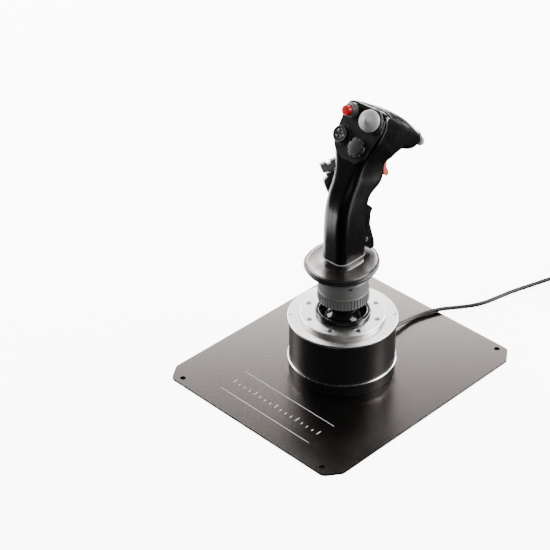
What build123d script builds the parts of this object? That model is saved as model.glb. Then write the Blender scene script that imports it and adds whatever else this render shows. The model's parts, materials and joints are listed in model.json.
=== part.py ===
from build123d import *
import math
import os

# Desk flight joystick: a hand grip on a two-axis gimbal, in a round base on a flat plate.
# Millimetres, +Z up, +Y away from the pilot, +X to the pilot's right.
# The origin is the middle of the plate's underside, below the stick's axis.

os.makedirs("parts", exist_ok=True)

LOW = (Align.CENTER, Align.CENTER, Align.MIN)
HIGH = (Align.CENTER, Align.CENTER, Align.MAX)

# ---- plate ----
PLATE_X, PLATE_Y, PLATE_T = 242.0, 287.0, 2.2
CORNER_X, CORNER_Y, CORNER_R = 12.0, 17.0, 8.0
HOLE_X, HOLE_Y, HOLE_R = 100.5, 135.5, 3.0

# ---- round base, heights above the table ----
LOWER_R, LOWER_TOP = 56.2, 14.5
TRIM_R, TRIM_TOP = 57.4, 16.7
HOUSING_R, HOUSING_TOP = 55.9, 63.6
FLANGE_R, FLANGE_TOP = 57.5, 65.8
DISC_R, DISC_TOP = 44.3, 69.8
WALL_R = 51.0
FLOOR_TOP = PLATE_T + 3.0
CUP_R, CUP_TOP, CUP_BORE_R = 28.8, 74.0, 24.4
SCREW_CIRCLE_R, SCREW_HEAD_R = 37.6, 3.1

# ---- cable and its gland ----
CABLE_R = 2.25
GLAND_Y, GLAND_Z, GLAND_R, GLAND_FLANGE_R, GLAND_L = 48.6, 8.4, 4.5, 5.6, 27.0

# ---- gimbal ----
PIVOT_Z = 50.0
GIMBAL_IN_R, GIMBAL_OUT_R, GIMBAL_H = 28.0, 34.0, 8.0
PIN_R, PIN_GAP = 3.0, 0.05
DOME_R, DOME_T, NECK_R = 26.0, 1.8, 12.3
BOARD_Z = 8.2

# ---- coupling between base and grip ----
RING_R, RING_Z, RIB_TOP, RING_TOP = 26.9, 88.3, 101.4, 117.6
SHOULDER_R, STUB_R, RIBS = 25.6, 19.9, 48

# ---- grip ----
GRIP_Z = 140.0
WALL = 2.6
PLINTH_X, PLINTH_Y = 28.0, 36.0
REST_Z, REST_TOP = 124.0, 132.0


def frame_at(origin, normal, towards=(1, 0, 0)):
    """A plane at origin whose normal is the control's axis and whose x runs as near as it can to towards."""
    n = Vector(*normal).normalized()
    aim = Vector(*towards)
    return Plane(origin=origin, x_dir=(aim - n * n.dot(aim)).normalized(), z_dir=n)


def side_of(frame):
    """The plane through a control's axis, for half sections: x is radius, y is height."""
    return Plane(origin=frame.origin, x_dir=frame.x_dir, z_dir=-frame.y_dir)


def on_frame(frame, height):
    return frame.origin + frame.z_dir * height


def save(piece, name):
    piece.label = name
    export_step(piece, f"parts/{name}.step")


# =============================== plate ===============================

half_x, half_y = PLATE_X / 2, PLATE_Y / 2
with BuildPart() as base_plate:
    with BuildSketch():
        with BuildLine():
            Polyline(
                (half_x, half_y - CORNER_Y), (half_x - CORNER_X, half_y),
                (-half_x + CORNER_X, half_y), (-half_x, half_y - CORNER_Y),
                (-half_x, -half_y + CORNER_Y), (-half_x + CORNER_X, -half_y),
                (half_x - CORNER_X, -half_y), (half_x, -half_y + CORNER_Y),
                close=True,
            )
        make_face()
        fillet(vertices(), CORNER_R)
    extrude(amount=PLATE_T)
    with GridLocations(2 * HOLE_X, 2 * HOLE_Y, 2, 2):
        Hole(HOLE_R)
    with Locations(Plane((0, 0, 0), z_dir=(0, 0, -1))):
        with PolarLocations(40, 4, start_angle=45):
            CounterSinkHole(2.1, 3.9, counter_sink_angle=90)
save(base_plate.part, "base_plate")

with BuildPart() as plate_screws:
    with PolarLocations(40, 4, start_angle=45):
        with Locations((0, 0, 0.1)):
            Cone(3.7, 2.0, 1.7, align=LOW)
        with Locations((0, 0, 1.7)):
            Cylinder(2.0, 5.3, align=LOW)
save(plate_screws.part, "plate_screws")

# =============================== round base ===============================

with BuildPart() as base_bottom:
    with Locations((0, 0, PLATE_T)):
        Cylinder(LOWER_R, LOWER_TOP - PLATE_T, align=LOW)
    with Locations((0, 0, FLOOR_TOP)):
        Cylinder(WALL_R, LOWER_TOP, align=LOW, mode=Mode.SUBTRACT)
    with PolarLocations(40, 4, start_angle=45):
        with Locations((0, 0, PLATE_T)):
            Cylinder(5.0, 7.0, align=LOW)
            Cylinder(2.02, 5.5, align=LOW, mode=Mode.SUBTRACT)
    with PolarLocations(24, 3, start_angle=90):
        with Locations((0, 0, FLOOR_TOP)):
            Cylinder(2.6, BOARD_Z - FLOOR_TOP, align=LOW)
    with Locations(Plane(origin=(0, GLAND_Y - 0.4, GLAND_Z), x_dir=(1, 0, 0), z_dir=(0, 1, 0))):
        Cylinder(GLAND_FLANGE_R + 0.1, 2.3, align=LOW, mode=Mode.SUBTRACT)
        Cylinder(GLAND_R + 0.05, 20, align=LOW, mode=Mode.SUBTRACT)
save(base_bottom.part, "base_bottom")

with BuildPart() as trim_ring:
    with Locations((0, 0, LOWER_TOP)):
        Cylinder(TRIM_R, TRIM_TOP - LOWER_TOP, align=LOW)
    chamfer(trim_ring.edges().filter_by(GeomType.CIRCLE), 0.6)
    with Locations((0, 0, LOWER_TOP)):
        Cylinder(WALL_R, 5, align=LOW, mode=Mode.SUBTRACT)
save(trim_ring.part, "trim_ring")

with BuildPart() as base_housing:
    with Locations((0, 0, TRIM_TOP)):
        Cylinder(HOUSING_R, HOUSING_TOP - TRIM_TOP, align=LOW)
        Cylinder(WALL_R, HOUSING_TOP - TRIM_TOP, align=LOW, mode=Mode.SUBTRACT)
save(base_housing.part, "base_housing")

with BuildPart() as top_flange:
    with Locations((0, 0, HOUSING_TOP)):
        Cylinder(FLANGE_R, FLANGE_TOP - HOUSING_TOP, align=LOW)
    chamfer(top_flange.edges().filter_by(GeomType.CIRCLE).group_by(Axis.Z)[-1], 0.5)
    with Locations((0, 0, HOUSING_TOP)):
        Cylinder(34.2, 5, align=LOW, mode=Mode.SUBTRACT)
    with PolarLocations(53.6, 4, start_angle=45):
        with Locations((0, 0, FLANGE_TOP)):
            Box(3.4, 1.6, 1.4, align=HIGH, mode=Mode.SUBTRACT)
    with PolarLocations(SCREW_CIRCLE_R, 8, start_angle=22.5):
        Hole(1.6)
save(top_flange.part, "top_flange")

with BuildPart() as retaining_disc:
    with Locations((0, 0, FLANGE_TOP)):
        Cylinder(DISC_R, DISC_TOP - FLANGE_TOP, align=LOW)
    chamfer(retaining_disc.edges().filter_by(GeomType.CIRCLE).group_by(Axis.Z)[-1], 0.6)
    with Locations((0, 0, FLANGE_TOP)):
        Cylinder(CUP_BORE_R + 1.6, 6, align=LOW, mode=Mode.SUBTRACT)
    with PolarLocations(SCREW_CIRCLE_R, 8, start_angle=22.5):
        with Locations((0, 0, DISC_TOP)):
            CounterSinkHole(1.7, SCREW_HEAD_R + 0.1, counter_sink_angle=90)
save(retaining_disc.part, "retaining_disc")

with BuildPart() as disc_screws:
    with PolarLocations(SCREW_CIRCLE_R, 8, start_angle=22.5):
        with Locations((0, 0, DISC_TOP - 0.15)):
            Cone(1.5, SCREW_HEAD_R - 0.1, 1.5, align=HIGH)
        with Locations((0, 0, DISC_TOP - 1.7)):
            Cylinder(1.5, 5.6, align=HIGH)
        for turn in (0, 90):
            with Locations(Location((0, 0, DISC_TOP - 0.15), (0, 0, 45 + turn))):
                Box(3.4, 0.8, 1.0, align=HIGH, mode=Mode.SUBTRACT)
save(disc_screws.part, "disc_screws")

with BuildPart() as boot_cup:
    with BuildSketch(Plane.XZ) as cup_section:
        with BuildLine():
            Polyline(
                (CUP_BORE_R, FLANGE_TOP), (CUP_BORE_R + 1.5, FLANGE_TOP),
                (CUP_BORE_R + 1.5, DISC_TOP), (CUP_R, DISC_TOP),
                (CUP_R, CUP_TOP), (CUP_BORE_R, CUP_TOP), close=True,
            )
        make_face()
        fillet(cup_section.vertices().group_by(Axis.Y)[-1], 1.8)
    revolve(axis=Axis.Z)
save(boot_cup.part, "boot_cup")

# =============================== gimbal ===============================

BLOCK_IN, BLOCK_OUT = GIMBAL_OUT_R + 1.0, 45.0
with BuildPart() as gimbal_blocks:
    for side in (-1, 1):
        with Locations((side * (BLOCK_IN + BLOCK_OUT) / 2, 0, HOUSING_TOP)):
            Box(BLOCK_OUT - BLOCK_IN, 15, HOUSING_TOP - PIVOT_Z + 7, align=HIGH)
    with Locations(Plane(origin=(-50, 0, PIVOT_Z), x_dir=(0, 1, 0), z_dir=(1, 0, 0))):
        Cylinder(PIN_R + 0.02, 100, align=LOW, mode=Mode.SUBTRACT)
save(gimbal_blocks.part, "gimbal_blocks")

with BuildPart() as frame_pins:
    for side in (-1, 1):
        with Locations(Plane(origin=(side * 29, 0, PIVOT_Z), x_dir=(0, 1, 0), z_dir=(side, 0, 0))):
            Cylinder(PIN_R, BLOCK_OUT - 29, align=LOW)
save(frame_pins.part, "frame_pins")

with BuildPart() as gimbal_ring:
    with Locations((0, 0, PIVOT_Z)):
        Cylinder(GIMBAL_OUT_R, GIMBAL_H)
        Cylinder(GIMBAL_IN_R, GIMBAL_H, mode=Mode.SUBTRACT)
    with Locations(Plane(origin=(-50, 0, PIVOT_Z), x_dir=(0, 1, 0), z_dir=(1, 0, 0))):
        Cylinder(PIN_R + PIN_GAP, 100, align=LOW, mode=Mode.SUBTRACT)
    with Locations(Plane(origin=(0, -50, PIVOT_Z), x_dir=(1, 0, 0), z_dir=(0, 1, 0))):
        Cylinder(PIN_R + 0.02, 100, align=LOW, mode=Mode.SUBTRACT)
save(gimbal_ring.part, "gimbal_ring")

HUB_PIN_IN, HUB_PIN_OUT = 20.0, 33.4
with BuildPart() as ring_pins:
    for side in (-1, 1):
        with Locations(Plane(origin=(0, side * HUB_PIN_IN, PIVOT_Z), x_dir=(1, 0, 0), z_dir=(0, side, 0))):
            Cylinder(PIN_R, HUB_PIN_OUT - HUB_PIN_IN, align=LOW)
save(ring_pins.part, "ring_pins")

SEAT_R, SEAT_Z = 21.0, 43.5
TAIL_R, TAIL_Z = 5.0, 26.0
with BuildPart() as stick_hub:
    with Locations((0, 0, PIVOT_Z)):
        Box(12, 54, 8)
    with Locations((0, 0, SEAT_Z)):
        Cylinder(SEAT_R, 2.5, align=LOW)
    with Locations((0, 0, TAIL_Z)):
        Cylinder(TAIL_R, PIVOT_Z - TAIL_Z, align=LOW)
    for side in (-1, 1):
        with Locations(Plane(origin=(0, side * (HUB_PIN_IN - 0.5), PIVOT_Z), x_dir=(1, 0, 0), z_dir=(0, side, 0))):
            Cylinder(PIN_R + PIN_GAP, 20, align=LOW, mode=Mode.SUBTRACT)
save(stick_hub.part, "stick_hub")

STUB_TOP = 112.0
with BuildPart() as stick_shaft:
    with Locations((0, 0, PIVOT_Z + 4)):
        Cylinder(9.0, STUB_TOP - PIVOT_Z - 4, align=LOW)
    with Locations((0, 0, RING_Z + 2.2)):
        Cylinder(STUB_R, STUB_TOP - RING_Z - 2.2, align=LOW)
    with Locations((0, 0, PIVOT_Z + 4)):
        Cylinder(4.0, 60, align=LOW, mode=Mode.SUBTRACT)
    with Locations((0, 0, STUB_TOP)):
        Cylinder(10.1, 8, align=HIGH, mode=Mode.SUBTRACT)
save(stick_shaft.part, "stick_shaft")

with BuildPart() as grip_socket:
    with Locations((0, 0, STUB_TOP)):
        Cylinder(10.0, 7.9, align=HIGH)
        with PolarLocations(5.5, 5):
            Cylinder(0.8, 5, align=HIGH, mode=Mode.SUBTRACT)
save(grip_socket.part, "grip_socket")

dome_low = PIVOT_Z + 4.6
neck_low = PIVOT_Z + math.sqrt(DOME_R**2 - NECK_R**2)
inner_r = DOME_R - DOME_T
with BuildPart() as dust_dome:
    with Locations((0, 0, PIVOT_Z)):
        Sphere(DOME_R)
    with Locations((0, 0, neck_low - 1)):
        Cylinder(NECK_R, RING_Z - neck_low + 1 - 0.4, align=LOW)
    with Locations((0, 0, PIVOT_Z)):
        Sphere(inner_r, mode=Mode.SUBTRACT)
        Cylinder(9.1, 60, align=LOW, mode=Mode.SUBTRACT)
    with Locations((0, 0, dome_low)):
        Box(80, 80, 60, align=HIGH, mode=Mode.SUBTRACT)
save(dust_dome.part, "dust_dome")

with BuildPart() as magnet_holder:
    with Locations((0, 0, TAIL_Z)):
        Cylinder(6.0, 5.0, align=HIGH)
        Cylinder(3.05, 5.0, align=HIGH, mode=Mode.SUBTRACT)
save(magnet_holder.part, "magnet_holder")

with BuildPart() as sensor_magnet:
    with Locations((0, 0, TAIL_Z - 0.1)):
        Cylinder(3.0, 4.4, align=HIGH)
save(sensor_magnet.part, "sensor_magnet")

SPRING_R, WIRE_R, SPRING_LOW, SPRING_TURNS = 18.5, 1.2, 12.0, 5
with BuildPart() as centring_spring:
    with BuildLine() as spring_path:
        spring_rise = SEAT_Z - SPRING_LOW - 2.6 * WIRE_R
        Helix(pitch=spring_rise / SPRING_TURNS, height=spring_rise, radius=SPRING_R,
              center=(0, 0, SPRING_LOW + 1.3 * WIRE_R))
    with BuildSketch(Plane(origin=spring_path.line @ 0, z_dir=spring_path.line % 0)):
        Circle(WIRE_R)
    sweep()
save(centring_spring.part, "centring_spring")

with BuildPart() as sensor_board:
    with Locations((0, 0, BOARD_Z)):
        Cylinder(28.0, 1.6, align=LOW)
save(sensor_board.part, "sensor_board")

with BuildPart() as spring_plate:
    with Locations((0, 0, BOARD_Z + 1.6)):
        Cylinder(22.0, SPRING_LOW - BOARD_Z - 1.6, align=LOW)
        Cylinder(15.5, 6, align=LOW, mode=Mode.SUBTRACT)
save(spring_plate.part, "spring_plate")

with BuildPart() as hall_sensor:
    with Locations((0, 0, BOARD_Z + 1.6)):
        Box(7, 7, 1.6, align=LOW)
save(hall_sensor.part, "hall_sensor")

# =============================== locking ring ===============================

with BuildPart() as locking_ring:
    with Locations((0, 0, RING_Z)):
        Cylinder(RING_R, RIB_TOP - RING_Z, align=LOW)
    chamfer(locking_ring.edges().filter_by(GeomType.CIRCLE), 0.8)
    with Locations((0, 0, RIB_TOP)):
        Cylinder(SHOULDER_R, RING_TOP - RIB_TOP - 3, align=LOW)
    with Locations((0, 0, RING_TOP - 3)):
        Cone(SHOULDER_R, SHOULDER_R - 3, 3, align=LOW)
    with PolarLocations(RING_R, RIBS):
        with Locations((0, 0, RING_Z)):
            Box(1.3, 1.7, RIB_TOP - RING_Z - 1.2, align=LOW, mode=Mode.SUBTRACT)
    with PolarLocations(SHOULDER_R, 4, start_angle=-32):
        with Locations((0, 0, 112.0)):
            Box(3.0, 5.0, 2.6, align=LOW, mode=Mode.SUBTRACT)
    with Locations((0, 0, RING_Z + 2.2)):
        Cylinder(STUB_R + 0.08, 40, align=LOW, mode=Mode.SUBTRACT)
    with Locations((0, 0, RING_Z - 1)):
        Cylinder(NECK_R + 0.6, 8, align=LOW, mode=Mode.SUBTRACT)
save(locking_ring.part, "locking_ring")

# =============================== hand rest and plinth ===============================

with BuildPart() as grip_collar:
    with Locations((0, 0, RING_TOP + 0.3)):
        Cylinder(21.5, 7.0, align=LOW)
    with BuildSketch(Plane.XY.offset(REST_Z)):
        RectangleRounded(PLINTH_X, PLINTH_Y, 8)
    extrude(amount=GRIP_Z - REST_Z)
    with Locations((0, 0, 100)):
        Cylinder(10.6, 60, align=LOW, mode=Mode.SUBTRACT)
save(grip_collar.part, "grip_collar")

with BuildPart() as grip_plug:
    with Locations((0, 0, STUB_TOP + 0.2)):
        Cylinder(10.4, 12, align=LOW)
    with Locations((0, 0, STUB_TOP + 12.2)):
        Cylinder(4.0, 10, align=LOW)
save(grip_plug.part, "grip_plug")

with BuildPart() as hand_rest:
    with BuildSketch(Plane.XY.offset(REST_Z)):
        with BuildLine():
            Spline(
                (-40.5, 3), (-31, 29.5), (-2, 42), (24, 28), (35, 0.5), (28, -26.5), (2.5, -40.5), (-29.5, -29),
                periodic=True,
            )
        make_face()
    extrude(amount=REST_TOP - REST_Z)
    fillet(hand_rest.edges().group_by(Axis.Z)[0], 3.4)
    fillet(hand_rest.edges().group_by(Axis.Z)[-1], 1.6)
    with Locations((0, 0, REST_TOP - 4.2 + 215)):
        Sphere(215, mode=Mode.SUBTRACT)
    with Locations((0, 0, REST_Z)):
        Cylinder(21.6, 1.0, align=LOW, mode=Mode.SUBTRACT)
    with BuildSketch(Plane.XY.offset(REST_Z - 1)):
        RectangleRounded(PLINTH_X + 0.1, PLINTH_Y + 0.1, 8.05)
    extrude(amount=20, mode=Mode.SUBTRACT)
save(hand_rest.part, "hand_rest")

# =============================== grip body ===============================

# Cross sections from the bottom of the handle, up through the head and out to the nose.
# Each one: back y, z; front y, z; width behind; width in front; middle x; corner radius behind; in front.
SECTIONS = [
    (-20.0, 140.0, 19.0, 140.0, 31.0, 31.0, 0.0, 9.0, 9.0),
    (-20.0, 158.0, 19.5, 158.0, 31.0, 31.0, 0.0, 9.0, 9.0),
    (-20.0, 178.0, 20.8, 176.0, 31.0, 31.0, 0.0, 9.5, 9.5),
    (-18.2, 199.0, 21.8, 195.0, 31.0, 31.0, 0.0, 10.0, 10.0),
    (-12.8, 216.0, 26.5, 206.0, 31.0, 31.0, 0.0, 10.0, 10.0),
    (-5.5, 230.0, 39.5, 213.5, 32.0, 31.0, 0.0, 9.0, 10.0),
    (-0.5, 241.0, 44.0, 220.0, 35.0, 31.0, -1.0, 8.0, 10.0),
    (4.2, 252.0, 45.6, 226.0, 42.0, 30.5, -2.3, 7.0, 10.0),
    (10.5, 263.0, 47.0, 230.0, 53.0, 30.0, -3.5, 5.5, 10.0),
    (16.8, 274.0, 49.5, 233.5, 56.0, 30.0, -1.2, 4.5, 10.0),
    (23.6, 286.0, 53.5, 235.8, 56.5, 30.5, 0.0, 4.5, 10.0),
    (29.6, 296.6, 59.5, 237.0, 51.5, 31.0, 0.0, 5.5, 10.5),
    (45.0, 290.8, 66.5, 237.2, 43.0, 31.0, 0.0, 8.0, 10.5),
    (61.0, 281.2, 73.0, 235.6, 35.5, 29.0, 0.0, 9.5, 10.5),
    (77.0, 268.8, 79.5, 231.8, 30.5, 27.0, 0.0, 10.0, 10.0),
    (89.6, 257.0, 86.0, 228.8, 25.5, 23.5, 0.0, 9.5, 9.5),
    (99.4, 246.6, 92.8, 227.0, 20.5, 19.0, 0.0, 8.0, 8.0),
    (106.8, 238.7, 98.4, 229.1, 14.4, 14.4, 0.0, 6.0, 6.0),
]
STEPS = 2


def blend_row(table, i, t):
    """A row between rows i and i + 1 of a table, on a smooth curve through all its rows."""
    last = len(table) - 1
    p0, p1, p2, p3 = (table[min(max(k, 0), last)] for k in (i - 1, i, i + 1, i + 2))
    return [
        0.5 * (2 * b + (c - a) * t + (2 * a - 5 * b + 4 * c - d) * t**2 + (3 * b - a - 3 * c + d) * t**3)
        for a, b, c, d in zip(p0, p1, p2, p3)
    ]


def all_rows(table):
    rows = [blend_row(table, i, k / STEPS) for i in range(len(table) - 1) for k in range(STEPS)]
    return rows + [list(table[-1])]


def section_sketch(row, inset):
    """A cross section with rounded corners, drawn so far inside the row's own size."""
    back_y, back_z, front_y, front_z, back_w, front_w, middle_x, back_r, front_r = row
    across = Vector(0, front_y - back_y, front_z - back_z).normalized()
    middle = (middle_x, (back_y + front_y) / 2, (back_z + front_z) / 2)
    half_depth = math.dist(row[0:2], row[2:4]) / 2 - inset
    back_half, front_half = back_w / 2 - inset, front_w / 2 - inset
    with BuildSketch(Plane(origin=middle, x_dir=(1, 0, 0), z_dir=Vector(1, 0, 0).cross(across))) as drawn:
        with BuildLine():
            Polyline((-back_half, -half_depth), (back_half, -half_depth), (front_half, half_depth),
                     (-front_half, half_depth), close=True)
        make_face()
        forward = Axis(middle, across)
        fillet(drawn.vertices().group_by(forward)[0], back_r - inset)
        fillet(drawn.vertices().group_by(forward)[-1], front_r - inset)
    return drawn.sketch


grip_rows = all_rows(SECTIONS)
with BuildPart() as grip_outside:
    for row in grip_rows:
        add(section_sketch(row, 0.0))
    loft(ruled=True)

with BuildPart() as grip_inside:
    for row in grip_rows[:-5]:
        add(section_sketch(row, WALL))
    loft(ruled=True)

# The flat face that the thumb controls stand on.
FACE_LEAN = 29.75
face_normal = (0, -math.cos(math.radians(FACE_LEAN)), math.sin(math.radians(FACE_LEAN)))
face = Plane(origin=(0, 23.55, 286.0), x_dir=(1, 0, 0), z_dir=face_normal)


def on_face(s, t, out=0.0):
    """The point s to the right and t up the face, and so far out from it."""
    return face.from_local_coords(Vector(s, t, out))


PANEL_OUT, PANEL_T, PANEL_LEDGE = 0.5, 2.6, 2.4
PANEL_OUTLINE = [(-19, 11.6), (20, 11.6), (25.5, 6), (25.5, -6), (17.5, -35), (10, -43), (-8, -43), (-20, -37),
                 (-25.4, -28), (-25.0, 5)]

# ---- places of the controls ----
red_frame = frame_at(on_face(-15.5, 4.0, PANEL_OUT), (-0.05, -0.95, 0.29))
trim_frame = frame_at(on_face(11.9, 1.5, PANEL_OUT), (0.19, -0.85, 0.50))
round_frame = frame_at(on_face(-16.8, -22.0, PANEL_OUT), face_normal)
castle_frame = frame_at(on_face(6.6, -27.6, PANEL_OUT), face_normal)
tip_frame = frame_at((0, 102.6, 233.9), (0, 0.753, -0.659))
thumb_frame = frame_at((-25.3, 8.3, 221.0), (-0.51, -0.03, 0.86), (0.49, 0.81, 0.32))

RED_COLLAR_R, RED_BORE_R = 7.4, 5.3
TRIM_COLLAR_R, TRIM_BORE_R = 12.2, 8.6
TIP_COLLAR_R, TIP_BORE_R = 6.6, 4.7
STEM_HOLE_R = 4.4
THUMB_X, THUMB_Y = 13.0, 11.0


def bore_on(frame, radius, low, high):
    """A cylinder for cutting, along a control's axis."""
    start = frame.origin + frame.z_dir * low
    place = Plane(origin=start, x_dir=frame.x_dir, z_dir=frame.z_dir)
    return place.location * Cylinder(radius, high - low, align=LOW)


collar_bores = [
    bore_on(red_frame, RED_COLLAR_R + 0.02, -9, 9),
    bore_on(trim_frame, TRIM_COLLAR_R + 0.02, -9, 9),
]
stem_bores = [bore_on(round_frame, STEM_HOLE_R, -9.5, 9), bore_on(castle_frame, STEM_HOLE_R, -9.5, 9)]
thumb_bore = bore_on(thumb_frame, STEM_HOLE_R, -9.5, 9)
tip_bore = bore_on(tip_frame, TIP_COLLAR_R - 0.7, -9, 9)

with BuildPart() as panel_blank:
    with BuildSketch(face.offset(PANEL_OUT)):
        with BuildLine():
            Polyline(*PANEL_OUTLINE, close=True)
        make_face()
        fillet(vertices(), 4.0)
    extrude(amount=-PANEL_T)

with BuildPart() as panel_window:
    with BuildSketch(face.offset(3)):
        with BuildLine():
            Polyline(*PANEL_OUTLINE, close=True)
        make_face()
        fillet(vertices(), 4.0)
        offset(amount=-PANEL_LEDGE, kind=Kind.INTERSECTION)
    extrude(amount=-12)

with BuildPart() as panel_pocket:
    with BuildSketch(face.offset(6)):
        with BuildLine():
            Polyline(*PANEL_OUTLINE, close=True)
        make_face()
        fillet(vertices(), 4.0)
        offset(amount=0.05)
    extrude(amount=-6 - PANEL_T + PANEL_OUT)

# ---- trigger and pinky lever places ----
TRIGGER_Y, TRIGGER_Z, TRIGGER_HALF = 44.5, 239.0, 4.6
LEVER_Y, LEVER_Z, LEVER_HALF, LUG_HALF = 25.5, 149.5, 6.2, 2.6
CROSS_PIN_R = 1.6

# Screw posts that join the two halves of the grip: y and z of each.
POSTS = [(-8.0, 150.0), (-7.0, 190.0), (22.0, 235.0), (46.0, 268.0), (84.0, 245.0)]
POST_R, SCREW_R, HEAD_R, HEAD_DEPTH = 3.6, 1.4, 2.6, 4.5

across_x = Plane(origin=(-40, 0, 0), x_dir=(0, 1, 0), z_dir=(1, 0, 0))
with BuildPart() as grip_posts:
    with Locations(across_x):
        with Locations(POSTS):
            Cylinder(POST_R, 80, align=LOW)

with BuildPart() as lever_lug:
    with Locations((0, LEVER_Y - 3.5, LEVER_Z)):
        Box(2 * LUG_HALF, 12, 9)

with BuildPart() as grip_body:
    add(grip_outside.part)
    add(grip_inside.part, mode=Mode.SUBTRACT)
    add(grip_posts.part & grip_outside.part)
    add(lever_lug.part)
    add(panel_window.part, mode=Mode.SUBTRACT)
    add(panel_pocket.part, mode=Mode.SUBTRACT)
    for bore in collar_bores + stem_bores + [tip_bore, thumb_bore]:
        add(bore, mode=Mode.SUBTRACT)
    with Locations(Plane(origin=on_frame(thumb_frame, 0.2), x_dir=thumb_frame.x_dir, z_dir=thumb_frame.z_dir)):
        Box(THUMB_X + 0.1, THUMB_Y + 0.1, 12, align=LOW, mode=Mode.SUBTRACT)
    with Locations((0, TRIGGER_Y + 4, TRIGGER_Z - 6)):
        Box(2 * TRIGGER_HALF + 0.8, 26, 26, mode=Mode.SUBTRACT)
    with Locations(across_x):
        with Locations((LEVER_Y, LEVER_Z)):
            Cylinder(CROSS_PIN_R + 0.02, 80, align=LOW, mode=Mode.SUBTRACT)
        with Locations((TRIGGER_Y, TRIGGER_Z)):
            Cylinder(CROSS_PIN_R + 0.02, 80, align=LOW, mode=Mode.SUBTRACT)
        with Locations(POSTS):
            Cylinder(SCREW_R + 0.02, 47, align=LOW, mode=Mode.SUBTRACT)


def left_side_x(y, z):
    """The x of the grip's left surface where a screw enters."""
    probe = Pos(-40, y, z) * Box(40, 2, 2, align=(Align.MIN, Align.CENTER, Align.CENTER))
    return (grip_outside.part & probe).bounding_box().min.X


post_entry = [left_side_x(y, z) for y, z in POSTS]
with BuildPart() as grip_screws:
    for (y, z), x in zip(POSTS, post_entry):
        with Locations(Plane(origin=(x + HEAD_DEPTH, y, z), x_dir=(0, 1, 0), z_dir=(1, 0, 0))):
            Cylinder(HEAD_R - 0.1, 2.2, align=HIGH)
            Cylinder(SCREW_R, 6.0 - x - HEAD_DEPTH, align=LOW)

with BuildPart() as head_bores:
    for (y, z), x in zip(POSTS, post_entry):
        with Locations(Plane(origin=(x + HEAD_DEPTH, y, z), x_dir=(0, 1, 0), z_dir=(1, 0, 0))):
            Cylinder(HEAD_R, 20, align=HIGH)

with BuildPart() as grip_left_shell:
    add(grip_body.part)
    add(head_bores.part, mode=Mode.SUBTRACT)
    split(bisect_by=Plane.YZ, keep=Keep.BOTTOM)
save(grip_left_shell.part, "grip_left_shell")

with BuildPart() as grip_right_shell:
    add(grip_body.part)
    split(bisect_by=Plane.YZ, keep=Keep.TOP)
save(grip_right_shell.part, "grip_right_shell")

save(grip_screws.part, "grip_screws")

with BuildPart() as face_panel:
    add(panel_blank.part)
    for bore in collar_bores + stem_bores:
        add(bore, mode=Mode.SUBTRACT)
save(face_panel.part, "face_panel")

with BuildPart() as grip_board:
    with Locations((3.0, 6, 172)):
        Box(1.6, 16, 36)
save(grip_board.part, "grip_board")

# The carrier behind the face that the hats' switches are mounted on.
CARRIER_DEPTH, CARRIER_T = 11.0, 2.0
with BuildPart() as switch_carrier:
    with BuildSketch(face.offset(-CARRIER_DEPTH)):
        Rectangle(80, 44)
    extrude(amount=-CARRIER_T)
    add(grip_inside.part, mode=Mode.INTERSECT)
save(switch_carrier.part, "switch_carrier")

# =============================== buttons ===============================


def revolve_on(frame, points, rounded=()):
    """A turned piece about a control's axis; points are (radius, height)."""
    with BuildPart() as turned:
        with BuildSketch(side_of(frame)) as section:
            with BuildLine():
                Polyline(*points, close=True)
            make_face()
            for radius, height, size in rounded:
                corner = section.vertices().sort_by_distance(
                    frame.origin + frame.x_dir * radius + frame.z_dir * height)[0]
                fillet(corner, size)
        revolve(axis=Axis(frame.origin, frame.z_dir))
    return turned.part


save(revolve_on(red_frame, [(RED_BORE_R, -4), (RED_COLLAR_R, -4), (RED_COLLAR_R, 3.2), (6.5, 3.2), (6.5, 6.4),
                            (RED_BORE_R, 6.4)], [(RED_COLLAR_R, 3.2, 0.6), (6.5, 6.4, 0.5)]), "red_button_collar")
save(revolve_on(red_frame, [(0, -0.5), (RED_BORE_R - 0.08, -0.5), (RED_BORE_R - 0.08, 11.4), (0, 11.4)],
                [(RED_BORE_R - 0.08, 11.4, 1.8)]), "red_button")
save(revolve_on(tip_frame, [(TIP_BORE_R, -0.6), (5.8, -0.6), (5.8, 0.2), (TIP_COLLAR_R, 0.2), (TIP_COLLAR_R, 3.4),
                            (6.0, 3.4), (6.0, 5.6), (TIP_BORE_R, 5.6)], [(6.0, 5.6, 0.5)]), "tip_button_collar")
save(revolve_on(tip_frame, [(0, 0.6), (TIP_BORE_R - 0.08, 0.6), (TIP_BORE_R - 0.08, 13.0), (0, 13.0)],
                [(TIP_BORE_R - 0.08, 13.0, 1.2)]), "tip_button")

# =============================== hats ===============================

# Each hat tips about a ball under the face, on a small cross that takes the second direction.
HAT_PIVOT = -6.0


def stem_points(stem_r, hat_low):
    return [(0, HAT_PIVOT + 3.2), (stem_r, HAT_PIVOT + 3.2), (stem_r, hat_low)]


def hat_pivot(frame, name, size=5.0):
    """The cross: a small block under the stem, crossed by its two pins."""
    low = Plane(origin=on_frame(frame, HAT_PIVOT), x_dir=frame.x_dir, z_dir=frame.z_dir)
    with BuildPart() as cross:
        with Locations(low):
            Box(size, size, 4.0)
    save(cross.part, name)


save(revolve_on(trim_frame, [(TRIM_BORE_R, -3.5), (TRIM_COLLAR_R, -3.5), (TRIM_COLLAR_R, 3.2), (11.2, 4.6),
                             (TRIM_BORE_R, 4.6)]), "trim_hat_collar")
save(revolve_on(trim_frame, stem_points(2.6, 7.0) + [(9.6, 6.6), (11.0, 8.2), (10.7, 10.4), (8.6, 13.6), (5.2, 15.8),
                                                     (2.0, 17.4), (0, 18.0)]), "trim_hat")
hat_pivot(trim_frame, "trim_hat_cross")

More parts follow.
